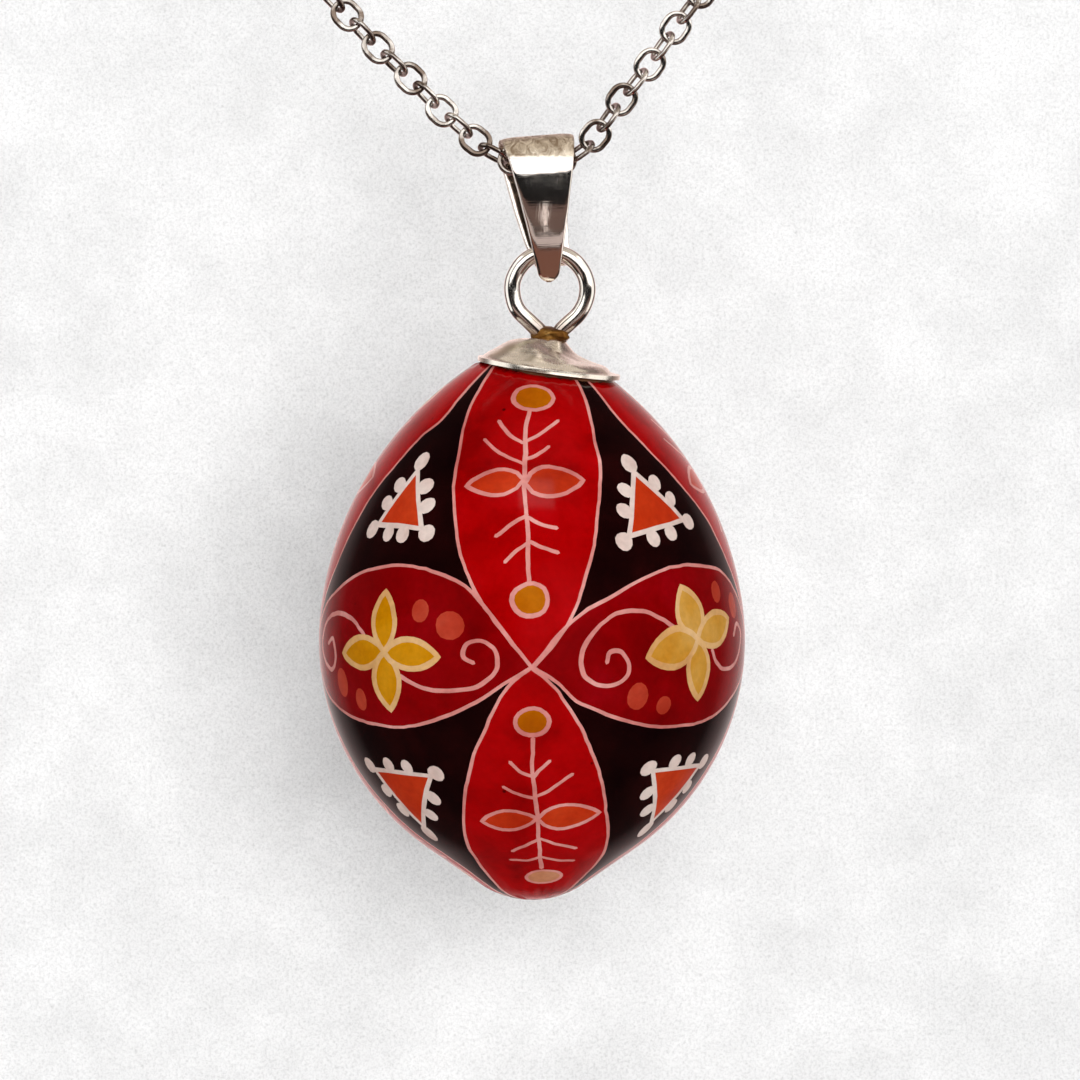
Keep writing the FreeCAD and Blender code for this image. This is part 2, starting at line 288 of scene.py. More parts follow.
DYES = {
    "black": dye("black", (22, 3, 3), (12, 1, 2), (38, 6, 6)),
    "maroon": dye("maroon", (132, 0, 3), (110, 0, 2), (148, 3, 14), speck=0.25),
    "red": dye("red", (164, 0, 2), (130, 0, 1), (182, 4, 10), speck=0.3),
    "line": dye("wax_line", (214, 138, 130), (190, 104, 98), (236, 178, 170)),
    "tooth": dye("tooth", (224, 200, 190), (196, 160, 148), (236, 220, 210)),
    "cream": dye("cream", (222, 172, 112), (200, 140, 84), (236, 196, 146)),
    "ochre": dye("ochre", (178, 94, 1), (158, 74, 0), (196, 116, 14)),
    "amber": dye("amber", (202, 132, 2), (184, 106, 0), (216, 150, 24)),
    "straw": dye("straw", (208, 150, 58), (196, 126, 26), (220, 170, 92)),
    "sand": dye("sand", (196, 128, 92), (176, 100, 68), (214, 152, 116)),
    "coral": dye("coral", (180, 58, 38), (160, 42, 24), (196, 78, 56)),
    "orange": dye("orange", (190, 50, 16), (166, 36, 10), (206, 68, 30)),
}
SILVER = silver("bright", (228, 220, 212), (196, 180, 164), 0.28, 0.09, fold=(44.45, 44.62))
SILVER_LOOP = silver("loop_wire", (228, 222, 214), (196, 184, 168), 0.28, 0.10, soot=(33.9, 35.2))
SILVER_CAP = silver("cap_sheet", (232, 224, 212), (204, 194, 170), 0.28, 0.22, 1.0, 0.00006)
SILVER_CHAIN = silver("chain", (204, 198, 192), (112, 98, 88), 0.42, 0.12, 0.8, 0.00002)
SOLDER = solder_metal()
# The adhesive's dark browns are partly its own colour and partly painted shade for the shaded gap under the
# cap's edge.
GLUE_AND_GAP_SHADE = resin("glue_and_gap_shade", (112, 74, 52), (58, 34, 24))
FILL = resin("resin_fill", (206, 186, 138), (176, 148, 96))


# ---------------------------------------------------------------- the egg's outline

def egg_profile():
    """The outline from the lower tip to the crown: length along it, radius, height and normal."""
    rows, x, z, length = [], 0.0, 0.0, 0.0

    def arc(radius, a, b):
        nonlocal x, z, length
        cx, cz = x - radius * math.sin(a), z + radius * math.cos(a)
        for k in range(201):
            t = a + (b - a) * k / 200
            here = (cx + radius * math.sin(t), cz - radius * math.cos(t))
            rows.append((length + radius * (t - a), *here, math.sin(t), -math.cos(t)))
        length, x, z = rows[-1][:3]

    tip_end, belly_end, shoulder_end = (math.radians(v) for v in (35.0, 97.6, 147.5))
    arc(5.55, 0.0, tip_end)
    flank = 3.81
    x, z, length = x + flank * math.cos(tip_end), z + flank * math.sin(tip_end), length + flank
    arc(15.2, tip_end, belly_end)
    arc(20.6, belly_end, shoulder_end)
    arc(x / math.sin(math.pi - shoulder_end), shoulder_end, math.pi)
    rows[-1] = (rows[-1][0], 0.0) + rows[-1][2:]
    return np.array(rows)


ALONG, RADIUS, HEIGHT, NORMAL_OUT, NORMAL_UP = egg_profile().T
LENGTH, TOP_Z = ALONG[-1], HEIGHT[-1]
DEG = 12.8 * math.pi / 180      # millimetres a degree takes up on the chart
LOW_Z, HIGH_Z = 0.02, TOP_Z - 0.02      # the drawing stops just short of both poles


def at_height(z, column):
    return float(np.interp(z, HEIGHT, column))


def at_length(s, column):
    return float(np.interp(s, ALONG, column))


def on_egg(lon, z):
    """The point on the egg at a longitude in degrees and a height, with the normal there."""
    z = min(max(z, LOW_Z), HIGH_Z)
    a = math.radians(lon)
    r, nr, nz = (at_height(z, column) for column in (RADIUS, NORMAL_OUT, NORMAL_UP))
    return (Vector((r * math.sin(a), -r * math.cos(a), z)),
            Vector((nr * math.sin(a), -nr * math.cos(a), nz)).normalized())


def lon_of(point, near):
    lon = math.degrees(math.atan2(point.x, -point.y))
    return lon + 360 * round((near - lon) / 360)


def shaky(lon, z, seed=0.0, amount=1.0):
    """A hand-drawn point: the true one with slow and quick tremble."""
    p, _ = on_egg(lon, z)
    q = p + amount * (0.11 * noise.noise_vector(p * 0.42 + Vector((seed, 3, 7)))
                      + 0.045 * noise.noise_vector(p * 1.9 + Vector((9, seed, 1))))
    return lon_of(q, lon), min(max(q.z, LOW_Z), HIGH_Z)


# ---------------------------------------------------------------- drawing on the egg

shapes = []      # (chart polygon, dye, priority)


def add_shape(points, colour, priority):
    """Puts a shape on the chart, and again where it crosses the chart's left or right edge."""
    poly = [(lon * DEG, at_height(z, ALONG)) for lon, z in points]
    for shift in (-360 * DEG, 0, 360 * DEG):
        moved = [(u + shift, s) for u, s in poly]
        if max(p[0] for p in moved) > -181 * DEG and min(p[0] for p in moved) < 181 * DEG:
            shapes.append((moved, colour, priority))


def walk(points, step=0.22, seed=0.0, closed=False, amount=1.0):
    """Even steps along a line of (longitude, height) points, with tremble."""
    line = [shaky(p[0], p[1], seed, amount) for p in points]
    spots = [on_egg(*p)[0] for p in line]
    out, reach = [line[0]], 0.0
    for (a, b), (p, q) in zip(zip(line, line[1:]), zip(spots, spots[1:])):
        count = max(1, math.ceil((q - p).length / step))
        for k in range(1, count + 1):
            out.append((a[0] + (b[0] - a[0]) * k / count, a[1] + (b[1] - a[1]) * k / count))
    return out[:-1] if closed else out


def beside(line, distance, closed=False):
    """The line moved sideways over the surface by a distance per point."""
    out, n = [], len(line)
    for i, (lon, z) in enumerate(line):
        before = line[i - 1] if (i or closed) else line[i]
        after = line[(i + 1) % n] if (i < n - 1 or closed) else line[i]
        p, normal = on_egg(lon, z)
        t = on_egg(*after)[0] - on_egg(*before)[0]
        side = normal.cross(t).normalized() if t.length > 1e-9 else Vector((0, 0, 0))
        q = p + side * distance[i]
        out.append((lon_of(q, lon), q.z))
    return out


def pen(n, width, seed):
    """Half-widths along a stroke: a wax line swells and thins a little."""
    return [width * (1 + 0.22 * noise.noise((i * 0.11, seed, 0.5))) / 2 for i in range(n)]


def stroke(points, width=0.28, colour="line", priority=5, seed=0.0):
    """A wax line with round ends."""
    line = walk(spline(points), seed=seed)
    half = pen(len(line), width, seed)
    left, right = beside(line, half), beside(line, [-h for h in half])
    ends = []
    for here, inner, h in ((line[-1], line[-2], half[-1]), (line[0], line[1], half[0])):
        p = on_egg(*here)[0]
        away = (p - on_egg(*inner)[0]).normalized()
        q = p + away * h
        ends.append((lon_of(q, here[0]), q.z))
    add_shape(left + [ends[0]] + right[::-1] + [ends[1]], colour, priority)


def outlined(points, width, edge, fill, priority=6, seed=0.0, amount=1.0):
    """A closed patch with a drawn edge. The points run anticlockwise as seen from outside."""
    line = walk(points + points[:1], step=0.2, seed=seed, closed=True, amount=amount)
    half = pen(len(line), width, seed)
    add_shape(beside(line, [-h for h in half], True), edge, priority)
    add_shape(beside(line, half, True), fill, priority + 1)


def patch_points(lon, z, across, along, count=18):
    """An oval lying on the surface. across and along are its half-sizes."""
    p, normal = on_egg(lon, z)
    east = Vector((math.cos(math.radians(lon)), math.sin(math.radians(lon)), 0))
    north = normal.cross(east)
    points = []
    for a in angles(count):
        q = p + east * (across * math.cos(a)) + north * (along * math.sin(a))
        points.append((lon_of(q, lon), q.z))
    return points


def disc(lon, z, across, along, fill, width=0.27, seed=0.0):
    outlined(patch_points(lon, z, across - width / 2, along - width / 2), width, "line", fill, seed=seed)


def dot(lon, z, across, along, colour, priority=6, seed=0.0):
    points = patch_points(lon, z, across, along, 14)
    add_shape([shaky(a, b, seed, 0.8) for a, b in points], colour, priority)


def leaf_points(base, tip, half, fat=0.42, steps=9):
    """A pointed leaf from base to tip, anticlockwise, widest at fat of its length."""
    p, n0 = on_egg(*base)
    q, n1 = on_egg(*tip)
    length = (q - p).length
    sides = ([], [])
    power = math.log(0.5) / math.log(fat)
    for k in range(1, steps):
        t = k / steps
        mid = p.lerp(q, t)
        side = (n0 + n1).cross(q - p).normalized()
        h = half * math.sin(math.pi * t ** power) ** 0.8
        for s, sign in ((0, -1), (1, 1)):
            r = mid + side * h * sign
            lon = lon_of(r, base[0] + (tip[0] - base[0]) * t)
            sides[s].append((lon, r.z))
    return [base] + sides[0] + [tip] + sides[1][::-1]


def leaf(base, tip, half, fill="orange", edge="line", width=0.26, fat=0.42, priority=6, seed=0.0):
    outlined(leaf_points(base, tip, half - width / 2, fat), width, edge, fill, priority, seed, 0.8)


def triangle(corners, seed):
    """A small filled triangle with round white teeth, one at each corner and two along each side."""
    lon0, z0 = (sum(c[i] for c in corners) / 3 for i in (0, 1))
    p0, normal = on_egg(lon0, z0)
    east = Vector((math.cos(math.radians(lon0)), math.sin(math.radians(lon0)), 0))
    north = normal.cross(east)
    flat = []
    for c in corners:
        d = on_egg(*c)[0] - p0
        flat.append(Vector((d.dot(east), d.dot(north))))

    def lift(v):
        q = p0 + east * v.x + north * v.y
        return (lon_of(q, lon0), q.z)

    def tooth(at, out, size):
        side = Vector((-out.y, out.x))
        centre = at + out * (0.52 * size)
        long, wide = 0.54 * size, 0.49 * size
        ring = [lift(centre + out * (long * math.cos(a)) + side * (wide * math.sin(a))) for a in angles(12)]
        add_shape([shaky(a, b, seed, 0.9) for a, b in ring], "tooth", 6)

    middle = (flat[0] + flat[1] + flat[2]) / 3
    for i in range(3):
        a, b = flat[i], flat[(i + 1) % 3]
        out = Vector(((b - a).y, -(b - a).x)).normalized()
        if out.dot((a + b) / 2 - middle) < 0:
            out = -out
        for k in range(2):
            tooth(a.lerp(b, (k + 1) / 3), out, 1 + 0.14 * noise.noise((seed, i * 3.3, k * 2.1)))
        tooth(a, (a - middle).normalized(), 1.12)
    area = abs((flat[1] - flat[0]).cross(flat[2] - flat[0]))
    inradius = area / sum((flat[i] - flat[i - 1]).length for i in range(3))
    for grow, colour, priority in ((0.18, "tooth", 7), (-0.13, "orange", 8)):
        outline = []
        for i in range(3):
            for t in (0, 0.25, 0.5, 0.75):
                side = flat[i].lerp(flat[(i + 1) % 3], t)
                outline.append(lift(middle + (side - middle) * (1 + grow / inradius)))
        add_shape([shaky(lon, z, seed, 0.8) for lon, z in outline], colour, priority)


# Every petal starts or ends at a rosette, at this height. Its edges are (longitude, height) from the rosette's.
HEART = (0, 14.7)
UP_LEFT = [(-43, 33.2), (-36.5, 31.4), (-30.5, 28.0), (-27, 25.4), (-23, 22.8), (-18.5, 20.2), (-12.5, 18.1),
           HEART]
UP_RIGHT = [(40, 33.2), (33, 31.2), (27, 28.1), (24.5, 25.8), (20, 23.2), (15.5, 20.2), (9, 17.0), HEART]
# The upper petals at the egg's sides are wider near the cap.
WIDE_LEFT = [(-46.5, 33.2), (-46.5, 31.4), (-45.5, 29.1), (-40, 27.5), (-31, 25.3), (-22.5, 23.2),
             (-16, 20.4), HEART]
WIDE_RIGHT = [(45.5, 33.2), (45.5, 31.4), (44, 29.1), (37, 27.9), (31.5, 26.3), (26, 24.6), (21, 22.2),
              (15, 19.6),
              HEART]
DOWN_LEFT = [HEART, (-7.5, 13.2), (-16, 9.9), (-23.5, 6.7), (-33, 3.5), (-38, 1.7), (-37, 0.01)]
DOWN_RIGHT = [HEART, (7.5, 13.2), (15.5, 10.4), (23.5, 7.4), (33.5, 4.7), (47, 2.2), (53, 0.01)]
# The level petals run from one rosette to the next.
SIDE_TOP = [HEART, (9, 17.0), (22, 18.8), (38, 20.1), (53, 20.4), (69, 19.7), (78, 18.0), (90, 14.7)]
SIDE_LOW = [HEART, (7, 13.8), (15, 12.4), (31, 11.3), (46, 11.0), (61, 11.4), (75, 12.7), (90, 14.7)]


def moved(points, lon):
    return [(p[0] + lon, p[1]) for p in points]


def petal(c, first, second, colour, priority, seed):
    """A filled petal between two edges, and a wax line down each of them."""
    a, b = moved(first, c), moved(second, c)
    rim = walk(spline(a), 0.22, seed) + walk(spline(b), 0.22, seed + 5)[::-1]
    add_shape(rim, colour, priority)
    stroke(a, 0.2, priority=4, seed=seed)
    stroke(b, 0.2, priority=4, seed=seed + 5)


def twigs(c, lines, seed):
    for line in lines:
        stroke(moved(line, c), 0.22, seed=seed + line[2][0])


def upper_sprig(c, s):
    """A stem with twigs and two leaves, between two discs. s seeds the tremble of the hand."""
    disc(c + 1, 30.2, 1.32, 1.2, "ochre", seed=s)
    stem = [(-0.6, 29.4), (-2.8, 27.8), (-2.5, 25.6), (-1.5, 23.4), (-1, 21.8), (-0.5, 19.5)]
    stroke(moved(stem, c), 0.26, seed=s)
    twigs(c, ([(-3.5, 27.6), (-9, 28.1), (-15, 28.9)], [(-2.5, 27.7), (4, 28.2), (12, 28.9)],
              [(-3, 26.4), (-11, 26.9), (-19.5, 27.8)], [(-2.5, 26.6), (2, 26.9), (6.5, 27.4)],
              [(-1.5, 23.5), (-6, 23.0), (-10.5, 22.3)], [(-1.5, 23.4), (3, 22.9), (7.5, 22.7)],
              [(-1, 21.9), (-4, 21.5), (-7.5, 20.8)], [(-0.5, 21.9), (3.5, 21.5), (7.5, 21.3)]), s)
    leaf((c - 2.8, 25.5), (c - 22, 25.1), 0.98, seed=s)
    leaf((c - 2.2, 25.3), (c + 17.5, 25.5), 1.12, seed=s + 2)
    disc(c - 0.5, 18.6, 1.18, 1.1, "ochre", seed=s + 1)


def lower_sprig(c, s, slim):
    disc(c, 11.5, 1.18, 0.98, "ochre", seed=s)
    stroke(moved([(0, 10.5), (0.3, 8.3), (1.2, 6.6), (2.2, 5.2), (4, 3.4), (6.5, 2.3)], c), 0.25, seed=s)
    twigs(c, ([(0.2, 8.2), (-3, 8.4), (-6.5, 9.0)], [(0.2, 8.2), (2, 8.6), (5, 9.2)],
              [(1, 6.9), (-4, 7.1), (-9.5, 7.6)], [(1, 6.9), (6, 7.4), (12.5, 8.4)],
              [(3, 4.3), (-3, 3.9), (-10, 3.5)], [(3, 4.3), (12, 3.9), (22, 3.7)],
              [(4.5, 3.2), (-3, 2.9), (-12, 2.9)], [(4.5, 3.2), (14, 2.9), (26, 2.8)]), s)
    leaf((c + 1.6, 5.6), (c - 19.5 * slim, 5.4), 0.98 * slim, seed=s, fat=0.5)
    leaf((c + 2.0, 5.6), (c + 25.5 * slim, 5.9), 1.1 * slim, seed=s + 3, fat=0.42)
    disc(c + 10, 1.75, 1.2, 0.86, "sand", width=0.2, seed=s + 4)


def flower(centre, tips, half, fill, seed):
    for i, tip in enumerate(tips):
        leaf(centre, tip, half[i], fill, "cream", 0.36, 0.48, 6 + 2 * i, seed + i)
    dot(*centre, 0.17, 0.17, "cream", 15, seed=seed)


def scroll(points, c, seed):
    stroke(moved(points, c), 0.26, seed=seed)


def dots(c, places, seed):
    for lon, z, across, along in places:
        dot(c + lon, z, across, along, "coral", seed=seed + lon)


def left_panel(c, seed):
    """A level petal that ends at the rosette at longitude c, with its flower left of a scroll."""
    scroll([(-37, 14.0), (-31, 13.5), (-24.5, 13.3), (-15.5, 13.5), (-10.3, 14.2), (-9, 15.1), (-10.5, 15.9),
            (-14, 16.2), (-17.6, 15.9), (-18.2, 15.2), (-15.5, 14.9)], c, seed)
    scroll([(-49, 16.0), (-52, 16.6), (-57, 17.3), (-65, 17.5), (-72, 17.0), (-77, 15.8), (-75, 14.6),
            (-69, 14.1), (-65.5, 14.9), (-67, 15.9), (-70.5, 15.6)], c, seed + 1)
    tips = [(-43.5, 18.9), (-60.5, 15.2), (-42, 12.0), (-25.0, 15.3)]
    flower((c - 42.5, 15.4), moved(tips, c), (1.05, 1.1, 1.18, 1.08), "amber", seed)
    dots(c, ((-31, 17.9, 0.6, 0.66), (-22, 17.1, 0.9, 0.86), (-62.5, 13.4, 0.66, 0.86),
             (-53.5, 12.5, 0.55, 0.7)), seed)


def right_panel(c, seed):
    """A level petal that starts at the rosette at longitude c, with a wide scroll before its flower."""
    scroll([(42, 16.7), (37, 17.3), (31, 17.8), (24, 17.8), (18.5, 17.2), (14.5, 16.2), (13, 15.2),
            (13.8, 14.2),
            (19, 13.6), (24.2, 13.8), (26.5, 14.7), (24.2, 15.5), (20.8, 15.5), (19.8, 14.9)], c, seed)
    scroll([(56, 15.4), (58, 14.7), (63, 14.2), (70, 14.4), (75, 15.3), (76, 16.3), (72.5, 16.8),
            (69.5, 16.2)],
           c, seed + 1)
    tips = [(45, 19.2), (66, 17.2), (51.5, 12.6), (32, 15.2)]
    flower((c + 49.5, 16.1), moved(tips, c), (1.28, 1.15, 1.12, 1.28), "straw", seed)
    dots(c, ((29.5, 12.9, 0.74, 0.82), (38.3, 12.3, 0.56, 0.54), (60.5, 18.8, 0.55, 0.66),
             (70.5, 17.9, 0.6, 0.78)), seed)


def draw_design():
    for k, c in enumerate((-90, 0, 90, 180)):
        seed = 11.0 + 7.3 * k
        at_side = abs(c) == 90
        upper = (WIDE_LEFT, WIDE_RIGHT) if at_side else (UP_LEFT, UP_RIGHT)
        petal(c, *upper, "red", 3, seed)
        # The lower petals at the sides are slimmer, and hardly show from the front.
        slim = 0.7 if at_side else 1
        lower = [[(lon * slim, z) for lon, z in edge] for edge in (DOWN_LEFT, DOWN_RIGHT)]
        petal(c, *lower, "red", 3, seed + 2)
        petal(c, SIDE_TOP, SIDE_LOW, "maroon", 2, seed + 4)
        upper_sprig(c, seed)
        lower_sprig(c, seed + 20, slim)
    # Each dark field lies between two rosettes and holds one triangle.
    for c in (0, 180):
        triangle(moved([(-44.0, 25.9), (-53.5, 22.7), (-34.5, 22.6)], c), 11.0 + c)
        triangle(moved([(38.0, 25.8), (29.5, 22.1), (53.0, 23.0)], c), 14.0 + c)
        triangle(moved([(-58.5, 8.4), (-50.5, 5.0), (-33.0, 8.3)], c), 17.0 + c)
        triangle(moved([(40.5, 8.5), (56.5, 5.2), (65.0, 8.5)], c), 19.0 + c)
        left_panel(c, 31.0 + c)
        right_panel(c, 57.0 + c)


# ---------------------------------------------------------------- the egg's mesh

def under_cap(p):
    """Points of the crown that the cap hides are laid flat, so that the sheet can dip over them."""
    return Vector((p.x, p.y, min(p.z, 31.82 - 0.139 * (p.x - 1.0) + 0.05 * p.y)))


def inside(points, poly):
    """Which points a polygon winds round in its own direction."""
    poly = np.array(poly)
    nxt = np.roll(poly, -1, axis=0)
    sign = np.sign(np.sum(poly[:, 0] * nxt[:, 1] - nxt[:, 0] * poly[:, 1]))
    low, high = poly.min(axis=0), poly.max(axis=0)
    near = np.nonzero(np.all((points >= low) & (points <= high), axis=1))[0]
    wind = np.zeros(len(near))
    x, y = points[near, 0], points[near, 1]
    for (x0, y0), (x1, y1) in zip(poly, nxt):
        cross = (x1 - x0) * (y - y0) - (x - x0) * (y1 - y0)
        wind += (y0 <= y) & (y1 > y) & (cross > 0)
        wind -= (y0 > y) & (y1 <= y) & (cross < 0)
    return near[wind * sign > 0]


def chart_mesh(low, high):
    """Triangles that fill the chart between two lengths, with an edge along every drawn outline."""
    half, grid = 180 * DEG, 0.62
    verts, edges = [], []

    def chain(points, closed=True):
        start, count = len(verts), len(points)
        verts.extend(Vector(p) for p in points)
        edges.extend((start + i, start + (i + 1) % count) for i in range(count if closed else count - 1))

    rows = int((high - low) / grid)
    levels = [low + (high - low) * i / rows for i in range(rows + 1)]
    for side in (-half, half):
        chain([(side, s) for s in levels], closed=False)
    for i, s in enumerate(levels):
        count = max(16, int(2 * math.pi * at_length(s, RADIUS) / grid))
        shift = 0.5 * (i % 2)
        inner = [(-half + 2 * half * (k + shift) / count, s) for k in range(0 if shift else 1, count)]
        if i in (0, rows):
            chain([(-half, s)] + inner + [(half, s)], closed=False)
        else:
            verts.extend(Vector(p) for p in inner)
    for poly, _, _ in shapes:
        chain(poly)
    out, _, tris, _, _, _ = delaunay_2d_cdt(verts, edges, [], 0, 1e-5, False)
    flat = np.array([(v.x, v.y) for v in out])
    tris = np.array([t for t in tris if len(t) == 3])
    middle = flat[tris].mean(axis=1)
    keep = (np.abs(middle[:, 0]) < half) & (middle[:, 1] > low) & (middle[:, 1] < high)
    return flat, tris[keep], middle[keep]


def close_pole(bm, height, rim_height):
    """A fan of triangles from the pole to the open rim round it."""
    level = row((0, 0, rim_height)).z
    rim = [e for e in bm.edges if e.is_boundary and abs(e.verts[0].co.z - level) < 1e-7]
    pole = bm.verts.new(row((0, 0, height)))
    for e in rim:
        colour = e.link_faces[0].material_index
        face = bm.faces.new((e.verts[0], e.verts[1], pole))
        face.material_index = colour
        face.smooth = True


def round_normal(p):
    """The true normal of the egg at a point of its mesh."""
    out = math.hypot(p.x, p.y)
    if out < 1e-6:
        return (0, 0, -1 if p.z < 10 else 1)
    across = at_height(p.z, NORMAL_OUT)
    return (across * p.x / out, across * p.y / out, at_height(p.z, NORMAL_UP))


def egg_mesh():
    """The egg in one mesh: each drawn shape is a patch of faces in its own dye."""
    draw_design()
    low, high = at_height(LOW_Z, ALONG), at_height(HIGH_Z, ALONG)
    flat, tris, middle = chart_mesh(low, high)
    names = list(DYES)
    dyes = np.full(len(tris), names.index("black"))
    for poly, colour, _ in sorted(shapes, key=lambda s: s[2]):
        dyes[inside(middle, poly)] = names.index(colour)

    lon = np.radians(flat[:, 0] / DEG)
    r, z = (np.interp(flat[:, 1], ALONG, column) for column in (RADIUS, HEIGHT))
    points = np.stack([r * np.sin(lon), -r * np.cos(lon), z], axis=1)
    bm = bmesh.new()
    made = {}
    for tri, colour in zip(tris.tolist(), dyes):
        if len(set(tri)) == 3:
            for i in tri:
                if i not in made:
                    made[i] = bm.verts.new(row(points[i]))
            try:
                face = bm.faces.new([made[i] for i in tri])
            except ValueError:
                continue
            face.material_index = int(colour)
            face.smooth = True
    bmesh.ops.remove_doubles(bm, verts=bm.verts[:], dist=2e-8)
    close_pole(bm, 0.0, at_length(low, HEIGHT))
    close_pole(bm, TOP_Z, at_length(high, HEIGHT))
    bmesh.ops.recalc_face_normals(bm, faces=bm.faces[:])
    mesh = bpy.data.meshes.new("decorated_egg")
    bm.to_mesh(mesh)
    bm.free()
    for name in names:
        mesh.materials.append(DYES[name])
    mesh.normals_split_custom_set_from_vertices([round_normal(bench(v.co)) for v in mesh.vertices])
    for v in mesh.vertices:
        v.co = row(under_cap(bench(v.co)))
    dress(add_object("decorated_egg", mesh), "pendant", "egg_shell")


egg_mesh()


# ---------------------------------------------------------------- silver cap, loop and solder

CAP_R, CAP_T, CAP_GLUE_GAP = 7.2, 0.24, 0.12
CAP_CENTRE = Vector((0, 0, TOP_Z + CAP_GLUE_GAP - CAP_R))
CAP_TURN = Matrix.Rotation(math.radians(4.0), 4, "X") @ Matrix.Rotation(math.radians(9.5), 4, "Y")
LOOP_X, LOOP_Z, LOOP_R, WIRE_R = 1.06, 36.63, 2.25, 0.5


def egg_top(p):
    """The height of the egg's upper surface over a point."""
    upper = HEIGHT > 20
    return float(np.interp(math.hypot(p.x, p.y), RADIUS[upper][::-1], HEIGHT[upper][::-1]))


# The pressed sheet's outline from its raised middle outwards, as (radius, height).
CAP_LEFT = ((0, 33.72), (1.2, 33.72), (1.75, 33.66), (2.4, 33.47), (2.9, 33.14), (3.4, 32.82), (4.0, 32.62),
            (5, 32.3))
CAP_RIGHT = ((0, 33.72), (1.1, 33.68), (1.35, 33.42), (1.6, 33.02), (2.0, 32.66), (2.5, 32.38), (3.1, 32.2),
             (3.8, 31.96), (4.4, 31.6))


def sheet_height(x, y):
    """The sheet falls away gently on the left and in a hollow curve on the right."""
    dx, dy = x - 0.78, y + 0.15
    r = math.hypot(dx, dy)
    turn = 0.5 + 0.5 * dx / max(r, 1e-6)
    left, right = (float(np.interp(r, *zip(*side))) for side in (CAP_LEFT, CAP_RIGHT))
    return left + (right - left) * turn * turn * (3 - 2 * turn)


def cap_mesh():
    """A thin sheet pressed over the crown by hand: soft creases, an uneven lip, a raised middle."""
    around, rings, radius = 120, 36, CAP_R + CAP_T
    verts = []
    for i in range(rings + 1):
        for a in angles(around):
            out = Vector((math.cos(a), math.sin(a), 0))
            rim = 4.3 * (1 + 0.022 * noise.noise(out * 1.7 + Vector((4, 1,
                                                                     8))) + 0.016 * math.cos(3 * a + 0.6))
            rho = rim * (i / rings) ** 0.9
            p = CAP_TURN @ Vector((rho * out.x, rho * out.y, math.sqrt(radius ** 2 - rho ** 2))) + CAP_CENTRE
            p.z = sum(sheet_height(p.x + 0.22 * math.cos(t), p.y + 0.22 * math.sin(t)) for t in range(6)) / 6
            p.z += 0.10 * noise.noise(Vector((p.x * 0.7, p.y * 0.7, 2.5))) * min(1, rho / 2)
            p.z += 0.03 * noise.noise(Vector((p.x * 2.1, p.y * 2.1, 5.5)))
            hug = min(1.0, max(0.0, rho - 3.1))
            hug *= hug * (3 - 2 * hug)
            p.z += (egg_top(p) + 0.29 - p.z) * hug
            p.z -= 0.22 * max(0.0, (i - rings + 6) / 6) ** 2
            p.z = max(p.z, under_cap(p + Vector((0, 0, 9))).z + 0.3)
            verts.append(p)
    faces = [f[::-1] for f in tube_faces(rings + 1, around, closed_ends=False)]
    faces.append(tuple(range(around)))
    obj = smooth_object("cap_sheet", verts, faces, SILVER_CAP)
    dress(obj, "pendant", "silver_cap")
    solid = obj.modifiers.new("thickness", "SOLIDIFY")
    solid.thickness, solid.offset, solid.use_even_offset = 0.00026, -1, True
    edge = obj.modifiers.new("soft_lip", "BEVEL")
    edge.width, edge.segments, edge.limit_method, edge.angle_limit = 0.00009, 3, "ANGLE", math.radians(50)


def glue_mesh():
    """The thin adhesive bed between the cap and the shell. Its dark brown is partly the adhesive's own colour
    and partly painted shade, a dark line for the shaded gap at the cap's edge.
    """
    around, rings, verts = 96, 10, []
    for lift in (0.05, -0.06):
        for i in range(rings + 1):
            for a in angles(around):
                out = Vector((math.cos(a), math.sin(a), 0))
                rho = (4.0 + 0.08 * noise.noise(out * 2.4)) * (i + 1) / (rings + 1)
                p = CAP_TURN @ Vector((rho * out.x, rho * out.y,
                                       math.sqrt(CAP_R ** 2 - rho ** 2))) + CAP_CENTRE
                p.z = min(egg_top(p), under_cap(p).z + 0.02 if i < rings - 1 else 99) + lift
                verts.append(p)
    half = (rings + 1) * around
    faces = tube_faces(rings + 1, around, False)
    faces += [tuple(half + v for v in f[::-1]) for f in faces]
    for k in range(around):
        here, after = half - around + k, half - around + (k + 1) % around
        faces.append((here, after, half + after, half + here))
    faces += [tuple(range(around))[::-1], tuple(range(half, half + around))]
    dress(smooth_object("glue_bed", verts, faces, GLUE_AND_GAP_SHADE), "pendant", "cap_adhesive")


def fill_mesh():
    """The fill inside the shell, a little smaller than the shell is outside."""
    around, rings, inset = 64, 48, 0.3
    down = Vector((0, 0, inset))
    verts = []
    for i in range(1, rings):
        r, z, nr, nz = (at_length(LENGTH * i / rings, c) for c in (RADIUS, HEIGHT, NORMAL_OUT, NORMAL_UP))
        r -= inset * nr
        z -= inset * nz
        for a in angles(around):
            verts.append(under_cap(Vector((r * math.cos(a), r * math.sin(a), z + inset))) - down)
    faces = tube_faces(rings - 1, around)
    dress(smooth_object("fill", verts, faces, FILL), "pendant", "resin_core")


